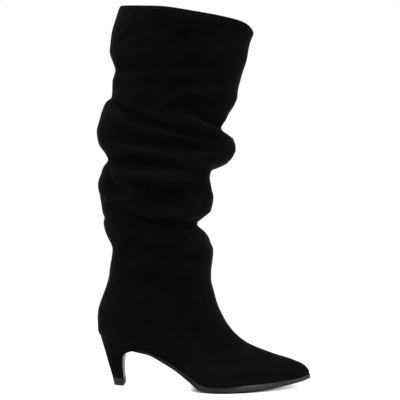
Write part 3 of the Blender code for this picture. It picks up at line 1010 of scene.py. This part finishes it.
# name: clean, worn, smoothest, roughest, specular, relief
RUBBERS = {
    "sole_edge_rubber": (0.032, 0.060, 0.4, 0.6, 0.02, 0.25),
    "sole_sheet_rubber": (0.011, 0.022, 0.3, 0.42, 0.48, 0.04),
    "lift_rubber": (0.0075, 0.0185, 0.5, 0.66, 0.15, 0.25),
    "topline_thread": (0.003, 0.008, 0.7, 0.9, 0.05, 0.25),
}
finish = {name: suede_material(name, *values) for name, values in SUEDES.items()}
finish.update({name: rubber_material(name, *values) for name, values in RUBBERS.items()})
print("materials:", ", ".join(finish))

# %% [markdown]
# ## Suede upper and lining
#
# The upper is suede outside and a thin lining inside. Both are closed walls: an outer grid, a coarser
# inner one a wall's thickness away, and a half-round rim at the collar. A Solidify modifier would give
# the wall too, but not the thicker turned edge or the round rim.

# %% Walls
TURNED_EDGE = 1.6
TURN_DEPTH = 12.0
INNER_SKIP = 3


def inset_grid(distance, first_row):
    """Every INNER_SKIP-th row of the suede, moved inwards; the last row is always kept."""
    last_row = len(suede_grid) - 1
    rows = np.unique(np.append(np.arange(first_row, last_row, INNER_SKIP), last_row))
    below = np.linalg.norm(suede_grid[rows] - suede_grid[0], axis=2)
    deeper = distance + TURNED_EDGE * (1 - ease(below / TURN_DEPTH))
    return suede_grid[rows] - deeper[:, :, None] * suede_normals[rows]


def wall_rings(outer, inner, rim_rows):
    """Rings of a wall: down the outside, up the inside and over a half-round rim at the top."""
    middle = (outer[0] + inner[0]) / 2
    half = (outer[0] - inner[0]) / 2
    up = outer[0] - outer[1]
    up *= np.linalg.norm(half, axis=1, keepdims=True) / np.linalg.norm(up, axis=1, keepdims=True)
    turn = np.pi * np.arange(1, rim_rows + 1)[:, None, None] / (rim_rows + 1)
    rim = middle - np.cos(turn) * half + np.sin(turn) * up
    return np.concatenate([outer, inner[::-1], rim])


print("rows inside the wall:", len(inset_grid(0.0, 0)), "for", len(suede_grid), "outside")

# %% [markdown]
# The suede comes first, with its painted light and shade kept as an attribute of the mesh. What lies
# inside the wall has none.

# %% Suede upper
SUEDE_WALL = 1.3
RIM_ROWS = 5
rings = wall_rings(suede_grid, inset_grid(SUEDE_WALL, 0), RIM_ROWS)
faces = ring_faces(len(rings), UPPER_COLUMNS, join_ends=True)
suede_upper = make_piece("suede_upper", rings, faces, [finish["black_suede"]], "upper")
# painted light and shade for the outer rows, none for the rows inside the wall
wall_painted_shading = np.zeros(rings.shape[:2], dtype=np.float32)
wall_painted_shading[: len(painted_shading)] = painted_shading
suede_upper.data.attributes.new("painted_shading", "FLOAT", "POINT").data.foreach_set("value", wall_painted_shading.reshape(-1))
print("points with wear:", painted_shading.size)

# %% [markdown]
# The suede turns over the collar and shows as a narrow band inside. The lining starts below that band
# and follows the same rows, a little further in.

# %% Lining
LINING_GAP = 0.2
LINING_WALL = 0.5
FACING_ROWS = 6
LINING_RIM_ROWS = 1
lining_outer = inset_grid(SUEDE_WALL + LINING_GAP, FACING_ROWS)
lining_inner = inset_grid(SUEDE_WALL + LINING_GAP + LINING_WALL, FACING_ROWS)
rings = wall_rings(lining_outer, lining_inner, LINING_RIM_ROWS)
faces = ring_faces(len(rings), UPPER_COLUMNS, join_ends=True)
make_piece("shaft_lining", rings, faces, [finish["lining_nap"]])

# %% [markdown]
# ## Topline stitches
#
# One row of stitches holds the turned edge at the collar. It runs at an even distance below the edge, so
# first we need the ring at that distance, which lies between two rows of the grid.

# %% Ring under the collar
STITCH_BELOW = 3.2
STITCH_PROUD = 0.1
COLLAR_ROWS = 12


def ring_below_collar(distance):
    """The suede's ring at that distance below the collar, between two rows, with its normals."""
    below = np.linalg.norm(suede_grid[:COLLAR_ROWS] - suede_grid[0], axis=2)
    row = (below < distance).sum(axis=0) - 1
    c = np.arange(UPPER_COLUMNS)
    rest = ((distance - below[row, c]) / (below[row + 1, c] - below[row, c]))[:, None]
    ring = suede_grid[row, c] * (1 - rest) + suede_grid[row + 1, c] * rest
    return ring, suede_normals[row, c]


stitch_ring, stitch_normal = ring_below_collar(STITCH_BELOW)
print("stitch line from", stitch_ring[:, 2].min().round(1), "to", stitch_ring[:, 2].max().round(1), "mm")

# %% [markdown]
# Each stitch is a short capsule, and all of them are worked out at once: one little shape along the
# thread is carried to evenly spaced places round the ring.

# %% Topline stitches
STITCH_PITCH = 4.0
STITCH_LENGTH = 3.0
THREAD_RADIUS = 0.34
THREAD_SIDES = 6
LOOK_AHEAD = 1.0
# along the stitch from -1 to 1, thickness share
STITCH_SHAPE = ((-1.0, 0.15), (-0.82, 0.75), (-0.4, 1.0), (0.4, 1.0), (0.82, 0.75), (1.0, 0.15))


def along_ring(at, length, values):
    """Values of a closed ring at those lengths along it, each coordinate on its own."""
    return np.stack([np.interp(at, length, one, period=length[-1]) for one in values.T], axis=1)


def unit(vectors):
    """Each vector divided by its length."""
    return vectors / np.linalg.norm(vectors, axis=1, keepdims=True)


def stitch_row(ring, normal):
    """Capsules along a closed ring: place + along * tangent + radius * (cos * lift + sin * beside)."""
    ring = np.concatenate([ring, ring[:1]])
    normal = np.concatenate([normal, normal[:1]])
    length = np.concatenate([[0.0], np.cumsum(np.linalg.norm(np.diff(ring, axis=0), axis=1))])
    count = int(length[-1] / STITCH_PITCH)
    at = np.arange(count) * length[-1] / count
    place = along_ring(at, length, ring)
    tangent = unit(along_ring(at + LOOK_AHEAD, length, ring) - place)
    lift = unit(along_ring(at, length, normal))
    beside = np.cross(tangent, lift)
    shape = np.array(STITCH_SHAPE)
    turn = 2 * np.pi * np.arange(THREAD_SIDES) / THREAD_SIDES
    along = shape[:, 0, None] * STITCH_LENGTH / 2
    radius = shape[:, 1, None] * THREAD_RADIUS
    local = np.stack([along + 0 * turn, radius * np.cos(turn), radius * np.sin(turn)], axis=2)
    axes = np.stack([tangent, lift, beside], axis=1)
    points = place[:, None] + local.reshape(1, -1, 3) @ axes
    one = stack_faces(local, first=True, last=True)
    many = one[None] + np.arange(count)[:, None, None] * local.shape[0] * THREAD_SIDES
    return points, many.reshape(-1, 4)


points, faces = stitch_row(stitch_ring + STITCH_PROUD * stitch_normal, stitch_normal)
make_piece("topline_stitches", points, faces, [finish["topline_thread"]], tidy=True)
print("stitches round the collar:", len(points))

# %% [markdown]
# ## Sock and outsole
#
# Both are flat bars that follow the last. A bar is a profile carried along a path: at each station there
# are four corners, left and right, above and below, and every point of the profile is so many
# millimetres in from its own edge and so far up between them. At the tip the bar narrows to a point, and
# the profile is drawn in with it.

# %% Bars along the last
BAR_COLUMNS = 176
THINNEST = 1e-6


def bar_rings(top_left, top_right, under_left, under_right, profile):
    """Closed rings of a bar: each profile point is (inset, share) from its edge, left then right."""
    inset, share = np.array(profile, dtype=float).T
    left = under_left[:, None] + share[:, None] * (top_left - under_left)[:, None]
    right = under_right[:, None] + share[:, None] * (top_right - under_right)[:, None]
    across = right - left
    width = np.maximum(np.linalg.norm(across, axis=2, keepdims=True), THINNEST)
    narrow = np.minimum(1.0, width / (2 * inset.max()))
    move = narrow * inset[None, :, None] / width
    return np.concatenate([left + across * move, (right - across * move)[:, ::-1]], axis=1)


def with_height(ring, height):
    """The ring's x and y with another height."""
    return np.column_stack([ring[:, 0], ring[:, 1], height])


def halves(ring):
    """The outer and the inner half of a ring, both from the back to the tip."""
    half = len(ring) // 2
    outer = np.arange(half, -1, -1)
    return ring[outer], ring[-outer % len(ring)]


print("stations along the last:", len(halves(last_outline(angles(BAR_COLUMNS)))[0]))

# %% [markdown]
# The sock is the soft board that the foot stands on. It lies inside the upper, a little in from the
# outline and just above the sole's edge.

# %% Sock
INSOLE_INSET = 3.2
INSOLE_LIFT = 0.2
INSOLE_THICK = 2.5
# inset, share of the thickness
SOCK_PROFILE = ((3.0, 1.0), (1.0, 0.92), (0.2, 0.7), (0.0, 0.4), (0.0, 0.0))
ring = plan_offset(last_outline(angles(BAR_COLUMNS)), -INSOLE_INSET)
left, right = halves(with_height(ring, edge_height(ring[:, 0]) + INSOLE_LIFT))
up = np.array([0.0, 0.0, INSOLE_THICK])
rings = bar_rings(left + up, right + up, left, right, SOCK_PROFILE)
make_piece("sock", rings, stack_faces(rings), [finish["sock_nap"]], "insole", tidy=True)

# %% [markdown]
# The outsole is one moulding. Its path starts at the foot of the flap that covers the front of the heel,
# bends under the waist and ends at the tip of the toe, so the corners of the flap and those of the sole
# follow each other in one list.

# %% Corners of the outsole
# name, back_x, back_z, front_x, front_z, half_width
FLAP = (
    ("breast_end", -100.0, 8.9, -98.2, 8.9, 7.8),
    ("breast_low", -100.8, 16.0, -98.9, 16.0, 8.4),
    ("breast", -101.1, 25.0, -99.4, 25.0, 9.8),
    ("bend_low", -100.2, 35.0, -98.7, 34.4, 13.0),
    ("bend", -96.2, 43.4, -94.8, 41.5, 17.8),
    ("bend_top", -87.4, 51.8, -88.8, 45.0, 25.4),
)
FLAP_CUTS = 8
FIT_GAP = 0.1
SOLE_EDGE = 1.4
WAIST_START = -84.0


def flap_corners():
    """Left and right corners of the flap, inside (top) and outside (under), smooth between its rows."""
    back_x, back_z, front_x, front_z, half = between(FLAP, FLAP_CUTS)
    corners = []
    for side in (-1.0, 1.0):
        corners.append(np.column_stack([back_x, side * half, back_z]))
        corners.append(np.column_stack([front_x, side * half, front_z]))
    return corners


def sole_corners():
    """Left and right corners of the sole in front of the heel, on the last's outline."""
    top_x = column(SOLE, 1)
    corners = []
    for half in halves(plan_offset(last_outline(angles(BAR_COLUMNS)), SOLE_EDGE)):
        half = half[half[:, 0] > WAIST_START]
        under_x = smooth(top_x, column(SOLE, 3), half[:, 0])
        under_z = smooth(top_x, column(SOLE, 4), half[:, 0])
        corners.append(with_height(half, edge_height(half[:, 0]) - FIT_GAP))
        corners.append(np.column_stack([under_x, half[:, 1], under_z]))
    shortest = min(len(corner) for corner in corners)
    return [corner[-shortest:] for corner in corners]


sole_path = [np.concatenate(pair) for pair in zip(flap_corners(), sole_corners())]
print("stations from the flap to the tip:", len(sole_path[0]))

# %% [markdown]
# The profile gives the edge its soft bulge. The faces that look down or forwards get the second finish,
# the smooth sheet, except at the very tip, where the edge itself turns down.

# %% Outsole
# inset, share of the thickness
SOLE_PROFILE = (
    (1.3, 1.0), (0.8, 0.98), (0.45, 0.92), (0.2, 0.82), (0.05, 0.68), (0.0, 0.54),
    (0.06, 0.4), (0.25, 0.26), (0.65, 0.12), (1.3, 0.03), (2.2, 0.0),
)
SHEET_TURN = 0.3
SHEET_LEVEL = 0.2
SHEET_END = 100.0


def read_rows(items, what):
    """One vector property of all faces or vertices of a mesh, as an array with a row for each."""
    values = np.empty(len(items) * 3)
    items.foreach_get(what, values)
    return values.reshape(-1, 3)


left_top, left_under, right_top, right_under = sole_path
rings = bar_rings(left_top, right_top, left_under, right_under, SOLE_PROFILE)
faces = stack_faces(rings, first=True)
sole_finish = [finish["sole_edge_rubber"], finish["sole_sheet_rubber"]]
outsole = make_piece("moulded_outsole", rings, faces, sole_finish, "outsole", tidy=True)
normal = read_rows(outsole.data.polygons, "normal")
centre = read_rows(outsole.data.polygons, "center")
faces_floor = (np.abs(normal[:, 1]) < SHEET_TURN) & (normal[:, 2] < SHEET_LEVEL)
on_sheet = faces_floor & (centre[:, 0] < SHEET_END * MM)
outsole.data.polygons.foreach_set("material_index", on_sheet.astype(np.int32))
print("sheet faces:", int(on_sheet.sum()))

# %% [markdown]
# The edge of the sole is dressed with ink: black at the waist, worn through towards the tip. Its upper
# rim gets a painted highlight where the toe bends and painted shade under the upper at the back of the
# ball, and the edge is darker towards its foot. A ramp in the material could follow one axis only, so
# the share of uninked rubber is worked out for each point and kept as an attribute.

# %% Inked edge with painted light
# x, share of uninked rubber at the rim, the middle and the foot of the edge (over 1: painted highlight)
EDGE_INK_AND_PAINTED_LIGHT = (
    (-80.0, 0.04, 0.04, 0.04),
    (-66.0, 0.30, 0.30, 0.30),
    (-54.0, 0.38, 0.38, 0.38),
    (-42.0, 0.34, 0.34, 0.34),
    (-30.0, 0.28, 0.28, 0.28),
    (-16.0, 0.34, 0.36, 0.36),
    (-1.5, 0.5, 0.5, 0.5),
    (8.0, 0.4, 0.46, 0.46),
    (17.5, 0.3, 0.36, 0.12),
    (27.0, 0.28, 0.5, 0.1),
    (36.5, 0.35, 0.6, 0.24),
    (46.0, 0.75, 0.68, 0.1),
    (55.5, 1.4, 0.68, 0.1),
    (65.0, 1.5, 0.7, 0.2),
    (74.0, 1.1, 0.66, 0.35),
    (83.5, 0.7, 0.64, 0.45),
    (93.0, 0.6, 0.62, 0.6),
    (128.0, 1.0, 1.0, 1.0),
)
RIM_LEVELS = (0.68, 0.92)
FOOT_LEVELS = (0.2, 0.34)


def uninked_share_with_painted_light(points):
    """The table along x, and between its three columns by how high the point is in the sole."""
    x, _, z = points.T
    under = smooth(column(SOLE, 3), column(SOLE, 4), x)
    level = (z - under) / (edge_height(x) - FIT_GAP - under)
    places = column(EDGE_INK_AND_PAINTED_LIGHT, 0)
    at_rim, at_middle, at_foot = (np.interp(x, places, column(EDGE_INK_AND_PAINTED_LIGHT, k)) for k in (1, 2, 3))
    rim = np.interp(level, RIM_LEVELS, (0.0, 1.0))
    foot = np.interp(level, FOOT_LEVELS, (1.0, 0.0))
    return at_middle + rim * (at_rim - at_middle) + foot * (at_foot - at_middle)


def apply_edge_ink_and_painted_light(material):
    """Multiplies the colour by the piece's own attribute, the share of uninked rubber with painted light
    and shade.
    """
    tree = material.node_tree
    shader = tree.nodes["Principled BSDF"]
    rubber = shader.inputs["Base Color"].links[0].from_socket
    share = add_node(tree, "ShaderNodeAttribute", attribute_name="uninked_and_painted_light")
    mix = add_node(tree, "ShaderNodeMix", data_type="RGBA", blend_type="MULTIPLY")
    mix.inputs["Factor"].default_value = 1.0
    first_place, second_place, output = MIX_SOCKETS["RGBA"]
    tree.links.new(rubber, mix.inputs[first_place])
    tree.links.new(share.outputs["Fac"], mix.inputs[second_place])
    tree.links.new(mix.outputs[output], shader.inputs["Base Color"])


# share of uninked rubber, with a painted highlight and painted shade on the rim
uninked_and_painted_light = uninked_share_with_painted_light(read_rows(outsole.data.vertices, "co") / MM)
outsole.data.attributes.new("uninked_and_painted_light", "FLOAT", "POINT").data.foreach_set("value", uninked_and_painted_light)
apply_edge_ink_and_painted_light(finish["sole_edge_rubber"])
print("bare rubber from", uninked_and_painted_light.min().round(2), "to", uninked_and_painted_light.max().round(2))

# %% [markdown]
# ## Heel and lift
#
# The heel is a slim block wrapped in the same suede. Its sections are the back of the seat's outline,
# drawn smaller and smaller towards the floor, so it meets the seat without a step. A cone would be
# quicker, but it would miss the flat breast and the flare under the seat.

# %% Heel
# name, back_x, back_z, front_x, front_z, half_width
HEEL = (
    ("base", -113.5, 8.9, -100.0, 8.9, 8.0),
    ("low", -116.2, 18.0, -101.0, 18.0, 8.8),
    ("middle", -120.1, 31.0, -101.2, 30.4, 11.4),
    ("neck", -123.3, 43.0, -98.0, 41.0, 16.2),
    ("flare", -126.2, 53.0, -92.6, 46.9, 22.0),
    ("seat", -128.4, 60.0, -88.4, 51.6, 25.2),
)
HEEL_COLUMNS = 60
HEEL_CUTS = 9


def heel_unit():
    """The seat's outline from the outer to the inner corner of the breast, in shares of its size."""
    start = np.arccos(2 * (HEEL[-1][3] - SOLE[0][1]) / (SOLE[-1][1] - SOLE[0][1]) - 1)
    ring = last_outline(np.linspace(start, 2 * np.pi - start, HEEL_COLUMNS))
    deep = (ring[:, 0] - ring[0, 0]) / (ring[:, 0].min() - ring[0, 0])
    wide = ring[:, 1] / np.abs(ring[:, 1]).max()
    return deep, wide


def heel_rings():
    """Sections between the rows, the last one bent to the line of the seat."""
    deep, wide = heel_unit()
    back_x, back_z, front_x, front_z, half = (values[:, None] for values in between(HEEL, HEEL_CUTS))
    x = front_x + (back_x - front_x) * deep
    z = front_z + (back_z - front_z) * deep
    seat = edge_height(x.reshape(-1)).reshape(x.shape)
    z = np.minimum(z, seat)
    z[-1] = seat[-1]
    return np.stack([x, half * wide, z], axis=2)


rings = heel_rings()
faces = stack_faces(rings, first=True, last=True)
make_piece("heel_wrap", rings, faces, [finish["heel_black_suede"]], "heel", tidy=True)

# %% [markdown]
# The lift is the rubber top piece that the heel stands on. It has the heel's own outline between two
# rows, and its edges are drawn in, more at the floor, where they wear.

# %% Lift
# name, back_x, front_x, height, half_width
LIFT = (
    ("floor", -111.5, -98.2, 0.0, 8.2),
    ("top", -113.7, -98.2, 8.8, 8.5),
)
# share of the height, how far in the edge is
LIFT_PROFILE = (
    (0.0, 0.6), (0.02, 0.25), (0.06, 0.05), (0.12, 0.0),
    (0.5, 0.0), (0.94, 0.0), (0.98, 0.05), (1.0, 0.2),
)


def lift_rings():
    """The heel's foot between the two rows, with its edges drawn in."""
    deep, wide = heel_unit()
    share, inset = np.array(LIFT_PROFILE).T[:, :, None]
    low, high = (np.array(row[1:]) for row in LIFT)
    back_x, front_x, height, half = (low[k] + share * (high[k] - low[k]) for k in range(4))
    x = (front_x - inset) + (back_x - front_x + 2 * inset) * deep
    return np.stack([x, (half - inset) * wide, height + 0 * deep], axis=2)


rings = lift_rings()
faces = stack_faces(rings, first=True, last=True)
make_piece("lift_block", rings, faces, [finish["lift_rubber"]], "heel_lift", tidy=True)

# %% [markdown]
# ## Studio
#
# The boot stands on a floor that glows evenly white, like a light table. A contact shadow is painted
# into its glow only where the sole comes close to it, a little more on the side away from the toe.
# Ambient occlusion measures how much of the sky above a point is open, and its normal is leaned over to
# shift the painted shadow.

# %% Floor
# the radius is in metres, the drop and the shade's reach in millimetres
FLOOR_RADIUS = 0.5
FLOOR_SIDES = 96
FLOOR_DROP = 0.1
FLOOR_GLOW = 1.25
SHADE_REACH = 11.0
SHADE_LEAN = {"X": 0.45, "Y": -0.25, "Z": 0.857}
# open share from low, from high, to glow low, to glow high
SHADE_RANGE = (0.18, 0.78, 0.12, 1.0)
turn = 2 * np.pi * np.arange(FLOOR_SIDES) / FLOOR_SIDES
level = np.full(FLOOR_SIDES, -FLOOR_DROP * MM)
floor_points = np.column_stack([FLOOR_RADIUS * np.cos(turn), FLOOR_RADIUS * np.sin(turn), level])
floor_mesh = bpy.data.meshes.new("floor")
floor_mesh.from_pydata(floor_points.tolist(), [], [list(range(FLOOR_SIDES))])
floor = bpy.data.objects.new("floor", floor_mesh)
bpy.context.scene.collection.objects.link(floor)
floor_paint = bpy.data.materials.new("floor_paint")
floor_paint.use_nodes = True
tree = floor_paint.node_tree
floor_shader = tree.nodes["Principled BSDF"]
floor_shader.inputs["Base Color"].default_value = grey(0.0)
floor_shader.inputs["Specular IOR Level"].default_value = 0.0
floor_shader.inputs["Emission Strength"].default_value = FLOOR_GLOW
open_sky = add_node(tree, "ShaderNodeAmbientOcclusion", Distance=SHADE_REACH * MM)
lean = add_node(tree, "ShaderNodeCombineXYZ", **SHADE_LEAN)
link(tree, lean, 0, open_sky, "Normal")
# painted contact shadow: the glow is dimmed where little of the sky is open
link(tree, ranged(tree, open_sky, *SHADE_RANGE), 0, floor_shader, "Emission Color")
floor_mesh.materials.append(floor_paint)
print("floor of", 2 * FLOOR_RADIUS, "m, shaded within", SHADE_REACH, "mm")

# %% [markdown]
# The backdrop is the world, white where the camera sees it and dimmer as a light, so that folds keep
# their shade. Light Path tells which rays come from the camera or a glossy face.

# %% World
SEEN_WORLD = 1.0
LIGHT_WORLD = 0.2
world = bpy.data.worlds.new("studio")
bpy.context.scene.world = world
world.use_nodes = True
tree = world.node_tree
background = tree.nodes["Background"]
background.inputs["Color"].default_value = grey(1.0)
ray = add_node(tree, "ShaderNodeLightPath")
seen = add_node(tree, "ShaderNodeMath", operation="MAXIMUM")
link(tree, ray, "Is Camera Ray", seen, 0)
link(tree, ray, "Is Glossy Ray", seen, 1)
link(tree, ranged(tree, seen, 0.0, 1.0, LIGHT_WORLD, SEEN_WORLD), "Result", background, "Strength")
print("world:", SEEN_WORLD, "seen and", LIGHT_WORLD, "as a light")

# %% [markdown]
# One large softbox hangs overhead and two stand at the sides, turned to the boot.

# %% Lights
# name, place, aim, width, height, watts
LIGHTS = (
    ("top_softbox", (0.0, 0.0, 1.7), (0.0, 0.0, 0.0), 2.2, 2.2, 38.0),
    ("toe_softbox", (1.3, -0.7, 0.7), (0.0, 0.0, 0.2), 0.8, 1.2, 18.0),
    ("heel_softbox", (-1.3, -0.5, 0.8), (0.0, 0.0, 0.25), 0.8, 1.2, 18.0),
)
for name, place, aim, width, height, watts in LIGHTS:
    lamp = bpy.data.lights.new(name, "AREA")
    lamp.shape = "RECTANGLE"
    lamp.size = width
    lamp.size_y = height
    lamp.energy = watts
    box = bpy.data.objects.new(name, lamp)
    box.location = place
    box.rotation_euler = (Vector(aim) - Vector(place)).to_track_quat("-Z", "Y").to_euler()
    bpy.context.scene.collection.objects.link(box)
print("lights:", ", ".join(row[0] for row in LIGHTS))

# %% [markdown]
# ## Camera
#
# The picture is square. It was taken level with the middle of the boot, from its outer side and a little
# towards the toe. The lens follows from how many millimetres one of its 400 pixels covers at the aim.

# %% Camera
PICTURE = 400
PIXEL_SIZE = 1.23 * MM
AIM = Vector((-4.5, 0.0, 229.5)) * MM
DISTANCE = 1.0
AZIMUTH = np.radians(4.5)
ELEVATION = np.radians(1.3)
SENSOR = 36.0
camera_data = bpy.data.cameras.new("camera")
camera_data.sensor_width = SENSOR
camera_data.lens = SENSOR * DISTANCE / (PICTURE * PIXEL_SIZE)
camera = bpy.data.objects.new("camera", camera_data)
bpy.context.scene.collection.objects.link(camera)
away = Vector((
    np.sin(AZIMUTH) * np.cos(ELEVATION),
    -np.cos(AZIMUTH) * np.cos(ELEVATION),
    np.sin(ELEVATION),
))
camera.location = AIM + DISTANCE * away
camera.rotation_euler = (-away).to_track_quat("-Z", "Y").to_euler()
bpy.context.scene.camera = camera
bpy.context.scene.view_settings.view_transform = "Standard"
print("lens, mm:", round(camera_data.lens, 1))
